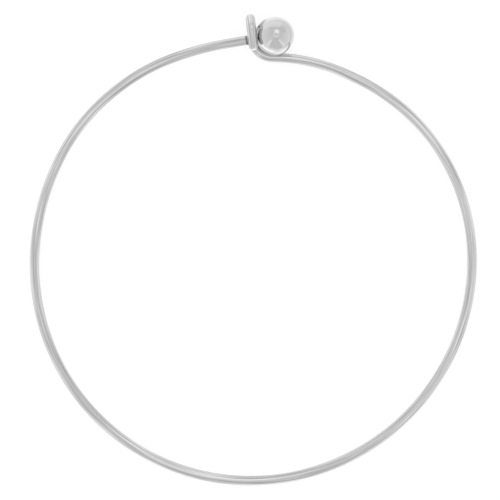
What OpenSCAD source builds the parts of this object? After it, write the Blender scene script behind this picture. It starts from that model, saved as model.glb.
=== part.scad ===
// A screw bracelet: a bangle bent from one length of round wire. One end is threaded and
// carries a ball that screws off, so that beads can be slid on. The other end is bent into
// a narrow hook that holds the first end behind the ball.
// Millimetres. It lies on a table at z = 0, with its clasp at +Y. The origin is on the
// table, in the middle of the hoop, and hoop_r behind the hoop's far point at -Y.

/* [Hoop] */
// Radius of the hoop, to the middle of the wire
hoop_r = 34.3; // [33.8:0.1:35.5]
// Thickness of the wire
wire_d = 1.5; // [1.4:0.05:1.55]
// Length of the straight end of the wire, up to the middle of the ball
straight_end = 7.9; // [7.7:0.1:8.1]

/* [Ball] */
// Diameter of the ball
ball_d = 6.15; // [6.05:0.05:6.25]
// Width of the flat round the mouth of its hole
ball_flat_d = 1.9; // [1.8:0.1:2.4]
// Thickness of the threaded end of the wire, over its crests
thread_d = 1.2; // [1:0.05:1.25]
// Length of the thread that is inside the ball
thread_length = 3.4; // [2:0.1:4]
// Depth of the hole in the ball past the end of the thread
hole_spare = 0.4; // [0.2:0.1:0.8]
// Gap round the thread, and at the wire's shoulder behind it
thread_gap = 0.05; // [0.03:0.01:0.1]

/* [Hook] */
// Gap between the ball and the wire beside it
ball_gap = 0.1; // [0.04:0.01:0.12]
// Height of the hook's upper leg above the middle of the ball
leg_rise = 1.65; // [1.4:0.05:1.7]
// Height of its lower leg, and of the wire beside the ball, above the table
leg_lift = 0.35; // [0.1:0.05:0.35]
// Length of the straight part of its lower leg
lower_leg = 1.5; // [1.3:0.05:3]
// Length of the straight part of its upper leg
upper_leg = 2.45; // [2.3:0.05:4]
// Radius of the bend that turns the wire out round the ball into the lower leg
leg_bend_r = 3.1; // [2.7:0.1:3.2]
// Angle of that bend
leg_bend_angle = 80.5; // [79:0.5:84]

/* [Hidden] */
$fn = 96;

// How much wider the rounded joint between two stretches of wire is than the wire, so
// that no gap is left there by rounding of the numbers
joint_swell = 0.01;
joint_d = wire_d + joint_swell;
wire_r = wire_d / 2;
ball_r = ball_d / 2;
table_gap = joint_d / 2;
// The middle of the ball above the middle of the lower leg
leg_drop = ball_r - table_gap - leg_lift;

// The hoop's bends, from its far point round to the clasp on each side. Each row has the
// columns SHARE, the bend's radius as a share of hoop_r, and ANGLE, in degrees.
SHARE = 0;
ANGLE = 1;
left_bends = [
    [0.985, 89.5],
    [1.087, 24.5],
    [0.949, 44.5],
    [1.3, 12],
];
right_bends = [
    [1.02, 60],
    [1, 30],
    [0.915, 65],
    [0.82, 22],
];

// A run of wire starts along X and bends towards Y. Each row of a run has the columns ROLL,
// the turn of the wire about itself before its bend, BEND_R, BEND_ANGLE, and STRAIGHT, the
// straight length after the bend.
ROLL = 0;
BEND_R = 1;
BEND_ANGLE = 2;
STRAIGHT = 3;

function along(a) = [cos(a), sin(a)];
function across(a) = [-sin(a), cos(a)];
function bend_step(r, a) = r * [sin(a), 1 - cos(a)];
function turned(v, a) = v.x * along(a) + v.y * across(a);

// The rows of one side of the hoop. Its first bend lies flat on the table, and the rest
// is lifted about the end of that bend, up to the clasp.
function side_rows(bends, straights, lift) = [
    for (i = [0:len(bends) - 1])
        [i == 1 ? lift : 0, bends[i][SHARE] * hoop_r, bends[i][ANGLE], straights[i]]
];

// Where the rows from i on end, in the plane of their bends
function reach(rows, i = 1) = i == len(rows)
    ? [0, 0]
    : bend_step(rows[i][BEND_R], rows[i][BEND_ANGLE])
        + turned([rows[i][STRAIGHT], 0] + reach(rows, i + 1), rows[i][BEND_ANGLE]);

// Where the flat first bend of a side ends, measured from the origin
function flat_end(bends) = [0, -hoop_r] + bend_step(bends[0][SHARE] * hoop_r, bends[0][ANGLE]);

// The left side, lifted so that the ball at its end rests on the table
to_ball = reach(side_rows(left_bends, [0, 0, 0, straight_end], 0));
left_lift = asin((ball_r - table_gap) / to_ball.y);
mirrored_ball = flat_end(left_bends)
    + turned([to_ball.x, to_ball.y * cos(left_lift)], left_bends[0][ANGLE]);
ball_xy = [-mirrored_ball.x, mirrored_ball.y];

// The ball's flat, and the shoulder where the full wire ends, from the ball's middle
flat_at = sqrt(pow(ball_r, 2) - pow(ball_flat_d / 2, 2));
shoulder_at = flat_at + thread_gap;

// The start of the hook's first bend, from how far the wire passes from the ball's middle
ball_to_wire = ball_r + wire_r + ball_gap;
under_distance = sqrt(pow(ball_to_wire, 2) - pow(leg_drop, 2));
leg_distance = sqrt(pow(ball_to_wire, 2) - pow(leg_rise, 2));
right_heading = right_bends[0][ANGLE] + right_bends[1][ANGLE] + right_bends[2][ANGLE] + right_bends[3][ANGLE];
corner_past_ball = (leg_distance - under_distance * cos(leg_bend_angle)) / sin(leg_bend_angle);
hook_start = ball_xy
    + (corner_past_ball - leg_bend_r * tan(leg_bend_angle / 2)) * along(right_heading)
    + under_distance * across(right_heading);

// The right side: two short straights, before and after its last bend, bring it there
to_hook = turned(hook_start - flat_end(right_bends), -right_bends[0][ANGLE]);
right_lift = atan(leg_lift / to_hook.y);
left_over = [to_hook.x, to_hook.y / cos(right_lift)] - reach(side_rows(right_bends, [0, 0, 0, 0], 0));
before_last = along(right_bends[1][ANGLE] + right_bends[2][ANGLE]);
after_last = along(right_heading - right_bends[0][ANGLE]);
straight_before = cross(left_over, after_last) / cross(before_last, after_last);
straight_after = cross(before_last, left_over) / cross(before_last, after_last);

left_run = side_rows(left_bends, [0, 0, 0, straight_end - shoulder_at], left_lift);
right_run = concat(
    side_rows(right_bends, [0, 0, straight_before, straight_after], right_lift),
    [
        [180, leg_bend_r, leg_bend_angle, lower_leg],
        [-90, (leg_rise + leg_drop) / 2, 180, upper_leg],
    ]
);

// Its poles lie along the wire, clear of the band of it that shows
module wire_joint() {
    rotate([0, 90, 0])
        sphere(d = joint_d);
}

module straight_wire(length) {
    rotate([0, 90, 0])
        cylinder(d = wire_d, h = length);
}

module bent_wire(r, a) {
    translate([0, r, 0])
        rotate([0, 0, -90])
            rotate_extrude(angle = a)
                translate([r, 0])
                    circle(d = wire_d);
}

// Puts its children where bend i of a run ends
module past_bend(rows, i) {
    step = bend_step(rows[i][BEND_R], rows[i][BEND_ANGLE]);
    translate([step.x, step.y, 0])
        rotate([0, 0, rows[i][BEND_ANGLE]])
            children();
}

// Draws a run from row i on, with a joint after each bend and straight but the last, and
// its children at its end
module run_of_wire(rows, i = 0) {
    rotate([rows[i][ROLL], 0, 0]) {
        bent_wire(rows[i][BEND_R], rows[i][BEND_ANGLE]);
        past_bend(rows, i) {
            wire_joint();
            if (rows[i][STRAIGHT] > 0)
                straight_wire(rows[i][STRAIGHT]);
            translate([rows[i][STRAIGHT], 0, 0]) {
                if (i + 1 < len(rows)) {
                    if (rows[i][STRAIGHT] > 0)
                        wire_joint();
                    run_of_wire(rows, i + 1)
                        children();
                } else {
                    children();
                }
            }
        }
    }
}

// Puts its children at the end of a run, without drawing the run
module at_end_of(rows, i = 0) {
    rotate([rows[i][ROLL], 0, 0])
        past_bend(rows, i)
            translate([rows[i][STRAIGHT], 0, 0]) {
                if (i + 1 < len(rows))
                    at_end_of(rows, i + 1)
                        children();
                else
                    children();
            }
}

// The far point of the hoop, where both sides start
module from_far_point() {
    translate([0, -hoop_r, table_gap])
        children();
}

// The thread as a plain round end with a chamfer, rooted in the full wire behind it
module threaded_tip() {
    chamfer = thread_d / 6;
    root = 1;
    body = shoulder_at - flat_at + thread_length - chamfer;
    rotate([0, 90, 0])
        rotate_extrude()
            polygon([
                [0, -root],
                [thread_d / 2, -root],
                [thread_d / 2, body],
                [thread_d / 2 - chamfer, body + chamfer],
                [0, body + chamfer],
            ]);
}

module bangle_wire() {
    color([0.72, 0.72, 0.73])
        from_far_point() {
            wire_joint();
            mirror([1, 0, 0])
                run_of_wire(left_run)
                    threaded_tip();
            run_of_wire(right_run)
                wire_joint();
        }
}

// The ball about its own middle, with its hole opening towards -X
module drilled_ball() {
    hole_d = thread_d + 2 * thread_gap;
    hole_depth = thread_length + hole_spare;
    difference() {
        sphere(d = ball_d);
        translate([-flat_at - ball_d, -ball_d, -ball_d])
            cube([ball_d, 2 * ball_d, 2 * ball_d]);
        translate([-flat_at - 1, 0, 0])
            rotate([0, 90, 0])
                cylinder(d = hole_d, h = hole_depth + 1);
    }
}

module screw_ball() {
    color([0.78, 0.78, 0.79])
        from_far_point()
            mirror([1, 0, 0])
                at_end_of(left_run)
                    translate([shoulder_at, 0, 0])
                        drilled_ball();
}

bangle_wire();
screw_ball();
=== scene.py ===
import cmath
import math

import bpy
from mathutils import Matrix, Vector


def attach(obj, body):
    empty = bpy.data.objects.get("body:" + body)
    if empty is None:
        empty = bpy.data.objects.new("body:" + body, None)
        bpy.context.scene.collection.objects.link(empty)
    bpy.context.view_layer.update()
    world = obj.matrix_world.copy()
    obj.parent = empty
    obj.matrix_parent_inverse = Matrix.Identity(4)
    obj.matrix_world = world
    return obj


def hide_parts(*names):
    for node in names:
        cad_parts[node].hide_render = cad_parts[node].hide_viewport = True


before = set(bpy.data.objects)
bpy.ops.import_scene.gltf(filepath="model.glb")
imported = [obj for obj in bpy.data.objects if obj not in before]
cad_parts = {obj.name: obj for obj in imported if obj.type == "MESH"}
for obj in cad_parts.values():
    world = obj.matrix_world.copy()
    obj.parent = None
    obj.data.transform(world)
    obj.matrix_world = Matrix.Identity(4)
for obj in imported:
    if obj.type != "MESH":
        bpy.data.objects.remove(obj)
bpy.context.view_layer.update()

# Camera
# A long lens three metres above the table looks straight down on the bangle, with the clasp
# at the top of the picture, so that the hoop shows its true outline.
mm = 0.001
picture_width = 78.5 * mm
picture_middle = Vector((0.031, 1.9, 0)) * mm
camera_height = 3.0
camera_data = bpy.data.cameras.new("camera")
camera_data.lens = camera_data.sensor_width * camera_height / picture_width
camera = bpy.data.objects.new("camera", camera_data)
camera.location = picture_middle + Vector((0, 0, camera_height))
bpy.context.scene.collection.objects.link(camera)
bpy.context.scene.camera = camera

# The bends of the bangle
# The wire is bent over formers from the far point of the hoop, one way round to the ball
# and the other way to the hook, which two short straights bring to its place beside the
# ball. The first bend of each side lies flat, and the rest is lifted towards the clasp.
wire_d = 1.5 * mm
wire_r = wire_d / 2
table_gap = 0.755 * mm
hoop_r = 34.3 * mm
straight_end = 7.9 * mm
ball_r = 3.075 * mm
ball_flat_r = 0.95 * mm
ball_gap = 0.1 * mm
leg_rise = 1.65 * mm
leg_lift = 0.35 * mm
lower_leg = 1.5 * mm
upper_leg = 2.45 * mm
leg_bend_r = 3.1 * mm
leg_bend_angle = math.radians(80.5)
left_bends = [
    (0.985 * hoop_r, math.radians(89.5)),
    (1.087 * hoop_r, math.radians(24.5)),
    (0.949 * hoop_r, math.radians(44.5)),
    (1.3 * hoop_r, math.radians(12)),
]
right_bends = [
    (1.02 * hoop_r, math.radians(60)),
    (1.0 * hoop_r, math.radians(30)),
    (0.915 * hoop_r, math.radians(65)),
    (0.82 * hoop_r, math.radians(22)),
]


def reach(bends, straights):
    """Where a flat run of bends ends, as x + yj, if it starts along x and bends towards y."""
    at, heading = 0j, 1 + 0j
    for (bend_r, angle), straight in zip(bends, straights):
        at += heading * bend_r * complex(math.sin(angle), 1 - math.cos(angle))
        heading *= cmath.rect(1, angle)
        at += heading * straight
    return at


def cross(a, b):
    return a.real * b.imag - a.imag * b.real


left_flat_end = reach(left_bends[:1], [0]) - 1j * hoop_r
to_ball = reach(left_bends[1:], [0, 0, straight_end])
left_lift = math.asin((ball_r - table_gap) / to_ball.imag)
lifted_to_ball = complex(to_ball.real, to_ball.imag * math.cos(left_lift))
mirrored_ball = left_flat_end + lifted_to_ball * cmath.rect(1, left_bends[0][1])
ball_at = complex(-mirrored_ball.real, mirrored_ball.imag)

leg_drop = ball_r - table_gap - leg_lift
ball_to_wire = ball_r + wire_r + ball_gap
under_distance = math.sqrt(ball_to_wire**2 - leg_drop**2)
leg_distance = math.sqrt(ball_to_wire**2 - leg_rise**2)
right_heading = sum(angle for _, angle in right_bends)
corner_past_ball = (leg_distance - under_distance * math.cos(leg_bend_angle)) / math.sin(leg_bend_angle)
bend_past_ball = corner_past_ball - leg_bend_r * math.tan(leg_bend_angle / 2)
hook_start = ball_at + complex(bend_past_ball, under_distance) * cmath.rect(1, right_heading)

right_flat_end = reach(right_bends[:1], [0]) - 1j * hoop_r
to_hook = (hook_start - right_flat_end) * cmath.rect(1, -right_bends[0][1])
right_lift = math.atan(leg_lift / to_hook.imag)
left_over = complex(to_hook.real, to_hook.imag / math.cos(right_lift)) - reach(right_bends[1:], [0, 0, 0])
before_last = cmath.rect(1, right_bends[1][1] + right_bends[2][1])
after_last = cmath.rect(1, right_heading - right_bends[0][1])
straight_before = cross(left_over, after_last) / cross(before_last, after_last)
straight_after = cross(before_last, left_over) / cross(before_last, after_last)

# The bangle's wire
# One length of round stainless steel wire, drawn, cut, bent and polished. One end is turned
# down to a shoulder and has a fine thread rolled on it for the ball. The other end is
# rounded, and is the tip of the hook.
thread_r = 0.6 * mm
thread_length = 3.4 * mm
thread_gap = 0.05 * mm
thread_pitch = 0.25 * mm
thread_depth = 0.13 * mm
end_chamfer = 0.2 * mm
shoulder_chamfer = 0.06 * mm
bend_step = math.radians(3)
line_step = 0.6 * mm
thread_step = 0.01 * mm
round_steps = 12
wire_sides = 48


def bent_line(rows):
    """The middle line of a run of wire from the hoop's far point on, and the place of its end.

    A row is the roll of the wire about itself before a bend, the bend's radius and angle,
    and the straight that follows it.
    """
    place = Matrix.Translation((0, -hoop_r, table_gap))
    line = [place.translation.copy()]
    for roll, bend_r, angle, straight in rows:
        place = place @ Matrix.Rotation(roll, 4, "X")
        count = math.ceil(max(bend_r * angle / line_step, angle / bend_step))
        for i in range(1, count + 1):
            turn = angle * i / count
            line.append(place @ Vector((bend_r * math.sin(turn), bend_r * (1 - math.cos(turn)), 0)))
        place = Matrix.Translation(line[-1]) @ place.to_3x3().to_4x4() @ Matrix.Rotation(angle, 4, "Z")
        count = math.ceil(straight / line_step)
        for i in range(1, count + 1):
            line.append(place @ Vector((straight * i / count, 0, 0)))
        place.translation = line[-1]
    return line, place


def side_rows(bends, straights, lift):
    rolls = [lift if i == 1 else 0 for i in range(len(bends))]
    return [(roll, *bend, straight) for roll, bend, straight in zip(rolls, bends, straights)]


flat_at = math.sqrt(ball_r**2 - ball_flat_r**2)
shoulder_at = flat_at + thread_gap
left_rows = side_rows(left_bends, [0, 0, 0, straight_end - shoulder_at], left_lift)
right_rows = side_rows(right_bends, [0, 0, straight_before, straight_after], right_lift)
hook_rows = [
    (math.pi, leg_bend_r, leg_bend_angle, lower_leg),
    (-math.pi / 2, (leg_rise + leg_drop) / 2, math.pi, upper_leg),
]
flip = Matrix.Scale(-1, 4, (1, 0, 0))
mirrored_line, mirrored_end = bent_line(left_rows)
left_line = [flip @ point for point in mirrored_line]
shoulder = left_line[-1]
ball_axis = (flip @ mirrored_end).col[0].to_3d().normalized()
ball_middle = shoulder + ball_axis * shoulder_at
right_line, tip_end = bent_line(right_rows + hook_rows)
tip_axis = tip_end.col[0].to_3d().normalized()

# From the end of the thread to the tip of the hook: points of the middle line, each with
# the wire's radius there
thread_end = thread_gap + thread_length
thread_count = round((thread_end - end_chamfer) / thread_step)
hair = 0.001 * mm
ends = [(thread_end, thread_r - end_chamfer), (thread_end - end_chamfer, thread_r)]
ends += [((thread_end - end_chamfer) * (1 - i / thread_count), thread_r) for i in range(1, thread_count)]
ends += [(hair, thread_r), (0, wire_r - shoulder_chamfer), (-shoulder_chamfer, wire_r)]
wire_line = [(shoulder + ball_axis * at, radius) for at, radius in ends]
wire_line += [(point, wire_r) for point in reversed(left_line[:-1])]
wire_line += [(point, wire_r) for point in right_line[1:]]
for i in range(1, round_steps + 1):
    turn = math.pi / 2 * i / round_steps
    point = right_line[-1] + tip_axis * (wire_r * math.sin(turn))
    wire_line.append((point, max(wire_r * math.cos(turn), hair)))

line_mesh = bpy.data.meshes.new("bangle_line")
line_edges = [(i, i + 1) for i in range(len(wire_line) - 1)]
line_mesh.from_pydata([point for point, _ in wire_line], line_edges, [])
line_radius = line_mesh.attributes.new("wire_radius", "FLOAT", "POINT")
line_radius.data.foreach_set("value", [radius for _, radius in wire_line])
wire = bpy.data.objects.new("bangle", line_mesh)
bpy.context.scene.collection.objects.link(wire)


def add_node(tree, kind, inputs=None, **settings):
    """A new node with its settings and inputs. An input is a value or another node's socket."""
    node = tree.nodes.new(kind)
    for name, value in settings.items():
        setattr(node, name, value)
    for name, value in (inputs or {}).items():
        if isinstance(value, bpy.types.NodeSocket):
            tree.links.new(value, node.inputs[name])
        else:
            node.inputs[name].default_value = value
    return node


def steel_material(name):
    """A material with only its steel shader and its output: the material, tree and shader."""
    material = bpy.data.materials.new(name)
    material.use_nodes = True
    tree = material.node_tree
    shader = tree.nodes["Principled BSDF"]
    shader.inputs["Metallic"].default_value = 1.0
    return material, tree, shader


def math_node(tree, operation, *values):
    """The result of a math node whose inputs are values or other nodes' sockets."""
    return add_node(tree, "ShaderNodeMath", dict(enumerate(values)), operation=operation).outputs["Value"]


def ramp(tree, value, edges, levels):
    """A value that goes smoothly from one level to the other between two edges."""
    node = add_node(tree, "ShaderNodeMapRange", {
        "Value": value, "From Min": edges[0], "From Max": edges[1], "To Min": levels[0], "To Max": levels[1],
    }, interpolation_type="SMOOTHSTEP")
    return node.outputs["Result"]


def noise_ramp(tree, noise, edges, levels):
    """A level that follows a noise in proportion between two edges."""
    node = add_node(tree, "ShaderNodeMapRange", {
        "Value": noise.outputs["Fac"], "From Min": edges[0], "From Max": edges[1],
        "To Min": levels[0], "To Max": levels[1],
    })
    return node.outputs["Result"]


# Polished wire keeps fine lines along it from the drawing die, and a slight waviness. A
# painted highlight brightens its colour along its top and its underside, and most at its ends.
# A narrow band of painted shade darkens its colour round the wire behind the ball, where
# the hook's edge passes over it.
line_length = 10 * mm
line_width = 0.22 * mm
line_depth = 0.01 * mm
line_tints = (0.47, 0.75)
line_roughness = (0.22, 0.12)
wave_length = 5 * mm
wave_width = 1.2 * mm
wave_depth = 0.035 * mm
bump_strength = 0.6
# Painted shade: a narrow dark band round the wire beside the hook's edge
hook_shade_at = 4.95 * mm
hook_shade_width = 0.2 * mm
hook_shade_level = 0.35
# Painted highlights: a line along the wire's top and underside, and more where it narrows at its ends
highlight_line_edges = (0.1 * mm, 0.3 * mm)
highlight_line_level = 1.1
end_highlight_edges = (0.45 * mm, 0.6 * mm)
end_highlight_level = 1.5
noise_edges = (0.35, 0.65)
wire_steel, wire_tree, wire_shader = steel_material("polished_drawn_wire")
grain = add_node(wire_tree, "ShaderNodeAttribute", attribute_name="wire_grain").outputs["Vector"]
line_places = add_node(wire_tree, "ShaderNodeMapping", {
    "Vector": grain, "Scale": (1 / line_length, 1 / line_width, 1 / line_width),
})
lines = add_node(wire_tree, "ShaderNodeTexNoise", {
    "Vector": line_places.outputs["Vector"], "Scale": 1.0, "Detail": 2.0, "Roughness": 0.5,
})
line_tint = noise_ramp(wire_tree, lines, noise_edges, line_tints)
grain_parts = add_node(wire_tree, "ShaderNodeSeparateXYZ", {"Vector": grain}).outputs
# The band of painted shade round the wire where the hook's edge passes over it
from_hook_shade = math_node(wire_tree, "SUBTRACT", grain_parts["X"], hook_shade_at)
from_hook_shade = math_node(wire_tree, "ABSOLUTE", from_hook_shade)
hook_shade = ramp(wire_tree, from_hook_shade, (0.5 * hook_shade_width, hook_shade_width), (hook_shade_level, 1.0))
# A painted highlight line along the wire's top and underside
from_crest = math_node(wire_tree, "ABSOLUTE", grain_parts["Y"])
highlight_line = ramp(wire_tree, from_crest, highlight_line_edges, (highlight_line_level, 1.0))
# A painted highlight where the wire narrows at its ends, at the thread's end and the hook's tip
across = add_node(wire_tree, "ShaderNodeVectorMath", {0: grain, 1: (0, 1, 1)}, operation="MULTIPLY")
from_middle = add_node(wire_tree, "ShaderNodeVectorMath", {0: across.outputs["Vector"]}, operation="LENGTH")
end_highlight = ramp(wire_tree, from_middle.outputs["Value"], end_highlight_edges, (end_highlight_level, 1.0))
# The painted highlights and the painted shade, multiplied into the die lines' tint
painted_light = math_node(wire_tree, "MULTIPLY", highlight_line, hook_shade)
painted_light = math_node(wire_tree, "MULTIPLY", painted_light, end_highlight)
tint_and_painted_light = add_node(wire_tree, "ShaderNodeMath", {
    0: line_tint, 1: painted_light,
}, operation="MULTIPLY", use_clamp=True)
wire_tree.links.new(tint_and_painted_light.outputs["Value"], wire_shader.inputs["Base Color"])
line_gloss = noise_ramp(wire_tree, lines, noise_edges, line_roughness)
wire_tree.links.new(line_gloss, wire_shader.inputs["Roughness"])
wave_places = add_node(wire_tree, "ShaderNodeMapping", {
    "Vector": grain, "Scale": (1 / wave_length, 1 / wave_width, 1 / wave_width),
})
waves = add_node(wire_tree, "ShaderNodeTexNoise", {
    "Vector": wave_places.outputs["Vector"], "Scale": 1.0, "Detail": 1.0,
})
wave_bump = add_node(wire_tree, "ShaderNodeBump", {
    "Height": waves.outputs["Fac"], "Strength": bump_strength, "Distance": wave_depth,
})
line_bump = add_node(wire_tree, "ShaderNodeBump", {
    "Height": lines.outputs["Fac"], "Strength": bump_strength, "Distance": line_depth,
    "Normal": wave_bump.outputs["Normal"],
})
wire_tree.links.new(line_bump.outputs["Normal"], wire_shader.inputs["Normal"])

# The wire is swept along its line, and the thread is cut into its turned-down end
sweep = bpy.data.node_groups.new("drawn_wire", "GeometryNodeTree")
sweep.interface.new_socket("Line", in_out="INPUT", socket_type="NodeSocketGeometry")
sweep.interface.new_socket("Wire", in_out="OUTPUT", socket_type="NodeSocketGeometry")
modifier = wire.modifiers.new("drawn_wire", "NODES")
modifier.node_group = sweep
for socket_name, kind, value in [
    ("Sides", "NodeSocketInt", wire_sides),
    ("Thread length", "NodeSocketFloat", thread_end),
    ("Thread pitch", "NodeSocketFloat", thread_pitch),
    ("Thread depth", "NodeSocketFloat", thread_depth),
]:
    socket = sweep.interface.new_socket(socket_name, in_out="INPUT", socket_type=kind)
    modifier[socket.identifier] = value


sizes = add_node(sweep, "NodeGroupInput").outputs
curve = add_node(sweep, "GeometryNodeMeshToCurve", {"Mesh": sizes["Line"]})
spline = add_node(sweep, "GeometryNodeSplineParameter")
position = add_node(sweep, "GeometryNodeInputPosition")
along = add_node(sweep, "GeometryNodeCaptureAttribute", {"Geometry": curve.outputs["Curve"]})
along.capture_items.new("FLOAT", "Along")
along.capture_items.new("VECTOR", "Middle")
sweep.links.new(spline.outputs["Length"], along.inputs["Along"])
sweep.links.new(position.outputs["Position"], along.inputs["Middle"])
circle = add_node(sweep, "GeometryNodeCurvePrimitiveCircle", {
    "Resolution": sizes["Sides"], "Radius": 1.0,
})
around = add_node(sweep, "GeometryNodeCaptureAttribute", {"Geometry": circle.outputs["Curve"]})
around.capture_items.new("VECTOR", "Around")
sweep.links.new(position.outputs["Position"], around.inputs["Around"])
radius = add_node(sweep, "GeometryNodeInputNamedAttribute", {"Name": "wire_radius"}, data_type="FLOAT")
radius = radius.outputs["Attribute"]
swept = add_node(sweep, "GeometryNodeCurveToMesh", {
    "Curve": along.outputs["Geometry"],
    "Profile Curve": around.outputs["Geometry"],
    "Scale": radius,
    "Fill Caps": True,
})

full_turn = 2 * math.pi
side = add_node(sweep, "ShaderNodeSeparateXYZ", {"Vector": around.outputs["Around"]}).outputs
part_turn = math_node(sweep, "DIVIDE", math_node(sweep, "ARCTAN2", side["Y"], side["X"]), full_turn)
whole_turns = math_node(sweep, "DIVIDE", along.outputs["Along"], sizes["Thread pitch"])
turns = math_node(sweep, "ADD", whole_turns, part_turn)
crest = math_node(sweep, "COSINE", math_node(sweep, "MULTIPLY", turns, full_turn))
groove = math_node(sweep, "MULTIPLY", math_node(sweep, "SUBTRACT", 1.0, crest), 0.5)
run_out = math_node(sweep, "SUBTRACT", sizes["Thread length"], along.outputs["Along"])
thread_share = math_node(sweep, "DIVIDE", run_out, sizes["Thread pitch"])
thread_share = math_node(sweep, "MINIMUM", thread_share, 1.0)
thread_share = math_node(sweep, "MAXIMUM", thread_share, 0.0)
depth = math_node(sweep, "MULTIPLY", groove, sizes["Thread depth"])
depth = math_node(sweep, "MULTIPLY", depth, thread_share)
outward = add_node(sweep, "ShaderNodeVectorMath", {
    0: position.outputs["Position"], 1: along.outputs["Middle"],
}, operation="SUBTRACT")
outward = add_node(sweep, "ShaderNodeVectorMath", {0: outward.outputs["Vector"]}, operation="NORMALIZE")
inward_step = add_node(sweep, "ShaderNodeVectorMath", {
    0: outward.outputs["Vector"], "Scale": math_node(sweep, "MULTIPLY", depth, -1.0),
}, operation="SCALE")
threaded = add_node(sweep, "GeometryNodeSetPosition", {
    "Geometry": swept.outputs["Mesh"], "Offset": inward_step.outputs["Vector"],
})

around_size = add_node(sweep, "ShaderNodeVectorMath", {
    0: around.outputs["Around"], "Scale": radius,
}, operation="SCALE")
around_parts = add_node(sweep, "ShaderNodeSeparateXYZ", {"Vector": around_size.outputs["Vector"]}).outputs
grain_place = add_node(sweep, "ShaderNodeCombineXYZ", {
    "X": along.outputs["Along"], "Y": around_parts["X"], "Z": around_parts["Y"],
})
grained = add_node(sweep, "GeometryNodeStoreNamedAttribute", {
    "Geometry": threaded.outputs["Geometry"], "Name": "wire_grain", "Value": grain_place.outputs["Vector"],
}, data_type="FLOAT_VECTOR", domain="POINT")
realized = add_node(sweep, "GeometryNodeRealizeInstances", {"Geometry": grained.outputs["Geometry"]})
finished = add_node(sweep, "GeometryNodeSetMaterial", {
    "Geometry": realized.outputs["Geometry"], "Material": wire_steel,
})
add_node(sweep, "NodeGroupOutput", {"Wire": finished.outputs["Geometry"]})


def smooth(mesh):
    """Shades a mesh smooth but for its sharp edges."""
    mesh.shade_smooth()
    mesh.set_sharp_from_angle(angle=math.radians(35))


shown_wire = wire.evaluated_get(bpy.context.evaluated_depsgraph_get())
wire_mesh = bpy.data.meshes.new_from_object(shown_wire)
wire_mesh.name = "bangle"
wire.modifiers.clear()
wire.data = wire_mesh
smooth(wire_mesh)
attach(wire, "bangle")
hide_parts("bangle_wire")

# The ball
# A ball turned from solid stainless steel and polished to a mirror. A small flat is faced
# on one side, and a blind hole is drilled and tapped there for the thread on the wire.
bore_r = thread_r + thread_gap
bore_spare = 0.4 * mm
bore_depth = thread_length + bore_spare
tap_depth = 0.03 * mm
mouth_chamfer = 0.12 * mm
flat_edge = 0.05 * mm
ball_sides = 128
ball_rings = 96
bore_step = thread_pitch / 10
smear_size = 1.5 * mm
smear_edges = (0.3, 0.7)
smear_tints = (0.65, 0.67)
smear_roughness = (0.05, 0.11)


def lathe_mesh(name, profile, sides, cut=None):
    """A closed turned shape about +X, from a list of places along the axis and radii.

    The first and last point lie on the axis. The cut is how much deeper the surface is at
    a place along the axis and a share of a turn.
    """
    points = [(profile[0][0], 0, 0)]
    for at, radius in profile[1:-1]:
        for i in range(sides):
            r = radius + (cut(at, radius, i / sides) if cut else 0)
            turn = 2 * math.pi * i / sides
            points.append((at, r * math.cos(turn), r * math.sin(turn)))
    points.append((profile[-1][0], 0, 0))
    rings = len(profile) - 2
    last = len(points) - 1
    faces = []
    for i in range(sides):
        j = (i + 1) % sides
        faces.append((0, 1 + i, 1 + j))
        for ring in range(rings - 1):
            a = 1 + ring * sides
            b = a + sides
            faces.append((a + j, a + i, b + i, b + j))
        a = 1 + (rings - 1) * sides
        faces.append((last, a + j, a + i))
    mesh = bpy.data.meshes.new(name)
    mesh.from_pydata(points, [], faces)
    return mesh


mouth_angle = math.acos(flat_at / ball_r)
edge_angle = mouth_angle + flat_edge / ball_r
ball_profile = [(ball_r, 0)]
for i in range(1, ball_rings + 1):
    turn = (math.pi - edge_angle) * i / ball_rings
    ball_profile.append((ball_r * math.cos(turn), ball_r * math.sin(turn)))
ball_profile.append((-flat_at, ball_flat_r - flat_edge))
ball_profile.append((-flat_at, bore_r + mouth_chamfer))
bore_count = round((bore_depth - mouth_chamfer) / bore_step)
for i in range(bore_count + 1):
    ball_profile.append((-flat_at + mouth_chamfer + i * bore_step, bore_r))
ball_profile.append((-flat_at + bore_depth, 0))


def tapped(at, radius, turn):
    """The crests of the thread in the bore stand in from its wall."""
    if radius != bore_r:
        return 0
    turns = (at / thread_pitch + turn) % 1
    return -tap_depth * (1 - abs(2 * turns - 1))


# A mirror polish with the faintest smears
ball_steel, ball_tree, ball_shader = steel_material("mirror_polished_ball")
ball_places = add_node(ball_tree, "ShaderNodeTexCoord")
ball_centred = add_node(ball_tree, "ShaderNodeMapping", {
    "Vector": ball_places.outputs["Object"], "Location": -ball_middle,
})
smears = add_node(ball_tree, "ShaderNodeTexNoise", {
    "Vector": ball_centred.outputs["Vector"], "Scale": 1 / smear_size, "Detail": 5.0, "Roughness": 0.6,
    "Distortion": 1.0,
})
ball_tint = noise_ramp(ball_tree, smears, smear_edges, smear_tints)
ball_tree.links.new(ball_tint, ball_shader.inputs["Base Color"])
ball_gloss = noise_ramp(ball_tree, smears, smear_edges, smear_roughness)
ball_tree.links.new(ball_gloss, ball_shader.inputs["Roughness"])

ball_mesh = lathe_mesh("ball", ball_profile, ball_sides, tapped)
ball_turn = ball_axis.to_track_quat("X", "Z").to_matrix().to_4x4()
ball_mesh.transform(Matrix.Translation(ball_middle) @ ball_turn)
ball_mesh.materials.append(ball_steel)
smooth(ball_mesh)
ball = bpy.data.objects.new("ball", ball_mesh)
bpy.context.scene.collection.objects.link(ball)
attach(ball, "ball")
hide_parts("screw_ball")

# The table
# A sheet of opal acrylic, lit from below and by the tent round it, so that it reads as plain
# white right up to the bangle.
table_half = 2.0
table_top = -0.05 * mm
table_grey = 0.25
table_glow = 0.82


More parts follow.
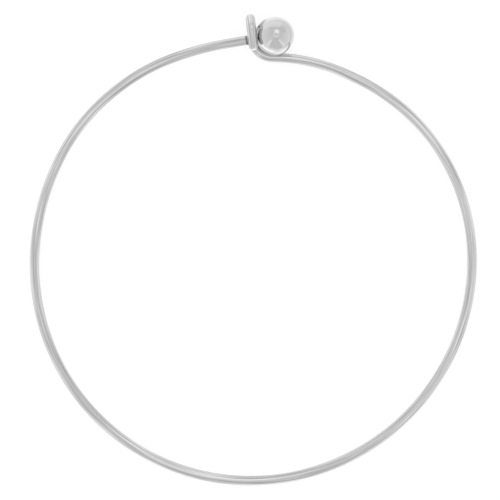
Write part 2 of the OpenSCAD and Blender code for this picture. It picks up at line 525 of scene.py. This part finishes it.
def flat_sheet(name, height):
    """A square of the table's size at a height."""
    corners = [(-1, -1), (1, -1), (1, 1), (-1, 1)]
    mesh = bpy.data.meshes.new(name)
    mesh.from_pydata([(x * table_half, y * table_half, height) for x, y in corners], [], [(0, 1, 2, 3)])
    sheet = bpy.data.objects.new(name, mesh)
    bpy.context.scene.collection.objects.link(sheet)
    return sheet


table = flat_sheet("table", table_top)
opal = bpy.data.materials.new("opal_sheet")
opal.use_nodes = True
opal_shader = opal.node_tree.nodes["Principled BSDF"]
opal_shader.inputs["Base Color"].default_value = (table_grey, table_grey, table_grey, 1)
opal_shader.inputs["Roughness"].default_value = 1.0
opal_shader.inputs["Specular IOR Level"].default_value = 0.0
opal_shader.inputs["Emission Color"].default_value = (1, 1, 1, 1)
opal_shader.inputs["Emission Strength"].default_value = table_glow
table.data.materials.append(opal)
all_but_ball = bpy.data.collections.new("all_but_ball")
all_but_ball.objects.link(ball)
all_but_ball.collection_objects[0].light_linking.link_state = "EXCLUDE"
table.light_linking.receiver_collection = all_but_ball

# The glow round the ball
# The light from the table that reaches the ball. A pool of it in front draws a white crescent
# along the ball's lower edge, one behind lights its top, and the hook shades its left side.
glow_top = -0.02 * mm
plain_glow = 0.81
contact_glow = 0.1
glow_card = flat_sheet("glow", glow_top)
glow = bpy.data.materials.new("glow_of_table")
glow.use_nodes = True
glow_tree = glow.node_tree
glow_tree.nodes.remove(glow_tree.nodes["Principled BSDF"])
glow_places = add_node(glow_tree, "ShaderNodeTexCoord")
from_ball = add_node(glow_tree, "ShaderNodeVectorMath", {
    0: glow_places.outputs["Object"], 1: Vector((ball_middle.x, ball_middle.y, glow_top)),
}, operation="SUBTRACT").outputs["Vector"]


def pool(x, y, inner, outer, level):
    """A level within the inner distance of a place, and 0 past the outer one.

    The place is measured from under the ball, and all of it is in millimetres.
    """
    distance = add_node(glow_tree, "ShaderNodeVectorMath", {
        0: from_ball, 1: Vector((x, y, 0)) * mm,
    }, operation="DISTANCE")
    return ramp(glow_tree, distance.outputs["Value"], (inner * mm, outer * mm), (level, 0))


# The pool in front has a notch, a darker wedge that widens away from the ball
front_pool = pool(-12, -18, 14, 30, 0.36)
places = add_node(glow_tree, "ShaderNodeSeparateXYZ", {"Vector": from_ball}).outputs
forward = math_node(glow_tree, "MAXIMUM", math_node(glow_tree, "MULTIPLY", places["Y"], -1.0), 0.01 * mm)
to_side = math_node(glow_tree, "SUBTRACT", math_node(glow_tree, "DIVIDE", places["X"], forward), 0.2)
wedge = ramp(glow_tree, math_node(glow_tree, "ABSOLUTE", to_side), (0.05, 0.4), (1, 0))
notch = math_node(glow_tree, "MULTIPLY", wedge, ramp(glow_tree, forward, (6 * mm, 16 * mm), (0, 1)))
glow_level = math_node(glow_tree, "MULTIPLY", front_pool, math_node(glow_tree, "SUBTRACT", 1.0, notch))

# A bright pool behind, and shade from the hook, at the right behind and in front, and from
# the bend into the hook
for x, y, inner, outer, level in [
    (-4, 8, 2, 16, 0.2),
    (-9, 3, 4, 8, -0.7),
    (26, 22, 14, 30, -0.13),
    (24, -8, 8, 18, -0.12),
    (-3.4, -4.9, 2.5, 6, -0.55),
]:
    glow_level = math_node(glow_tree, "ADD", glow_level, pool(x, y, inner, outer, level))
glow_level = math_node(glow_tree, "ADD", glow_level, plain_glow)

# The ball shades the place where it touches the table
distance = add_node(glow_tree, "ShaderNodeVectorMath", {0: from_ball}, operation="LENGTH")
contact = ramp(glow_tree, distance.outputs["Value"], (0.7 * ball_r, ball_r), (contact_glow, 1))
glow_level = math_node(glow_tree, "MULTIPLY", glow_level, contact)
glow_light = add_node(glow_tree, "ShaderNodeEmission", {"Strength": glow_level})
glow_clear = add_node(glow_tree, "ShaderNodeBsdfTransparent")
glow_sum = add_node(glow_tree, "ShaderNodeAddShader", {
    0: glow_light.outputs["Emission"], 1: glow_clear.outputs["BSDF"],
})
glow_tree.links.new(glow_sum.outputs["Shader"], glow_tree.nodes["Material Output"].inputs["Surface"])
glow_card.data.materials.append(glow)
only_ball = bpy.data.collections.new("only_ball")
only_ball.objects.link(ball)
glow_card.light_linking.receiver_collection = only_ball
glow_card.visible_camera = False

# The light tent
# White cloth lit all round, brighter behind the clasp, with one soft lamp in its greyer top
# and an open front where it is darker between two lit edges.
world = bpy.data.worlds.new("light_tent")
world.use_nodes = True
bpy.context.scene.world = world
tent_tree = world.node_tree
looking = add_node(tent_tree, "ShaderNodeTexCoord").outputs["Generated"]
looking_parts = add_node(tent_tree, "ShaderNodeSeparateXYZ", {"Vector": looking}).outputs
to_right = looking_parts["X"]
to_back = looking_parts["Y"]
up = looking_parts["Z"]


def patch(direction, inner, outer):
    """1 within the inner angle, in degrees, of a direction, and 0 past the outer one."""
    facing = add_node(tent_tree, "ShaderNodeVectorMath", {
        0: looking, 1: Vector(direction).normalized(),
    }, operation="DOT_PRODUCT").outputs["Value"]
    return ramp(tent_tree, facing, (math.cos(math.radians(outer)), math.cos(math.radians(inner))), (0, 1))


def mixed(share, start, end):
    """From the start level to the end level by a share."""
    step = math_node(tent_tree, "SUBTRACT", end, start)
    return math_node(tent_tree, "ADD", start, math_node(tent_tree, "MULTIPLY", share, step))


def product(*values):
    total = values[0]
    for value in values[1:]:
        total = math_node(tent_tree, "MULTIPLY", total, value)
    return total


def bar(back, aside, half_length, half_width):
    """1 along a bar overhead that runs from side to side, and 0 a little past its edges.

    The places and sizes are as the bar shows in a mirror ball, as shares of its radius.
    """
    soft_side = 0.035
    soft_end = 0.1
    height = math_node(tent_tree, "SQRT", math_node(tent_tree, "MULTIPLY_ADD", up, 2.0, 2.001))
    from_side = math_node(tent_tree, "SUBTRACT", math_node(tent_tree, "DIVIDE", to_back, height), back)
    from_side = math_node(tent_tree, "ABSOLUTE", from_side)
    from_end = math_node(tent_tree, "SUBTRACT", math_node(tent_tree, "DIVIDE", to_right, height), aside)
    from_end = math_node(tent_tree, "ABSOLUTE", from_end)
    return product(
        ramp(tent_tree, from_side, (half_width, half_width + soft_side), (1, 0)),
        ramp(tent_tree, from_end, (half_length, half_length + soft_end), (1, 0)),
    )


# The walls grow a little greyer upwards. Behind the clasp, up to a seam, they are brighter.
level = ramp(tent_tree, up, (0, 0.75), (0.95, 0.86))
past_seam = math_node(tent_tree, "SUBTRACT", to_back, product(up, 1.35))
behind = product(
    ramp(tent_tree, past_seam, (-0.06, 0.06), (0, 1)),
    ramp(tent_tree, to_back, (0.35, 0.65), (0, 1)),
)
level = mixed(behind, level, ramp(tent_tree, up, (0, 0.6), (1.05, 0.96)))

# The greyer top
level = mixed(patch((0.05, 0.1, 1), 28, 50), level, 0.81)

# The open front, and the lit edge on each side of it
front = math_node(tent_tree, "MAXIMUM", product(to_back, -1.0), 0.001)
slant = math_node(tent_tree, "SUBTRACT", math_node(tent_tree, "DIVIDE", to_right, front), 0.08)
slant = math_node(tent_tree, "ABSOLUTE", slant)
opening = product(
    ramp(tent_tree, slant, (0.56, 0.66), (1, 0)),
    ramp(tent_tree, up, (0.93, 0.96), (1, 0)),
)
level = mixed(opening, level, 0.76)
lit_edge = product(
    ramp(tent_tree, slant, (0.64, 0.75), (0, 1)),
    ramp(tent_tree, slant, (0.95, 1.2), (1, 0)),
    ramp(tent_tree, up, (0.8, 0.93), (1, 0)),
)
level = mixed(lit_edge, level, 1.06)

# The foot of the wall in front on the left, lit from outside
low_left = product(ramp(tent_tree, up, (0.03, 0.2), (1, 0)), patch((-0.57, -0.82, 0), 28, 45))
level = mixed(low_left, level, 1.02)

# Greyer cloth behind on the right, high and low. Then a seam behind the lamp, the lamp in its
# soft glow, the dark hole for the lens beside it, and a short seam in front of them.
for share, share_level in [
    (patch((0.672, 0.564, 0.479), 10, 26), 0.77),
    (patch((0.766, 0.643, 0), 10, 26), 0.86),
    (bar(0.38, 0, 0.25, 0.025), 0.77),
    (patch((0.1, 0.05, 1), 8, 22), 0.93),
    (patch((0.184, 0.388, 0.903), 8, 17), 1.22),
    (patch((0.146, 0.156, 0.977), 3, 8), 0.65),
    (bar(-0.16, 0.08, 0.09, 0.005), 0.68),
]:
    level = mixed(share, level, share_level)
tent = tent_tree.nodes["Background"]
tent_tree.links.new(level, tent.inputs["Strength"])
tent.inputs["Color"].default_value = (1, 1, 1, 1)

view_settings = bpy.context.scene.view_settings
view_settings.view_transform = "Standard"
view_settings.look = "None"
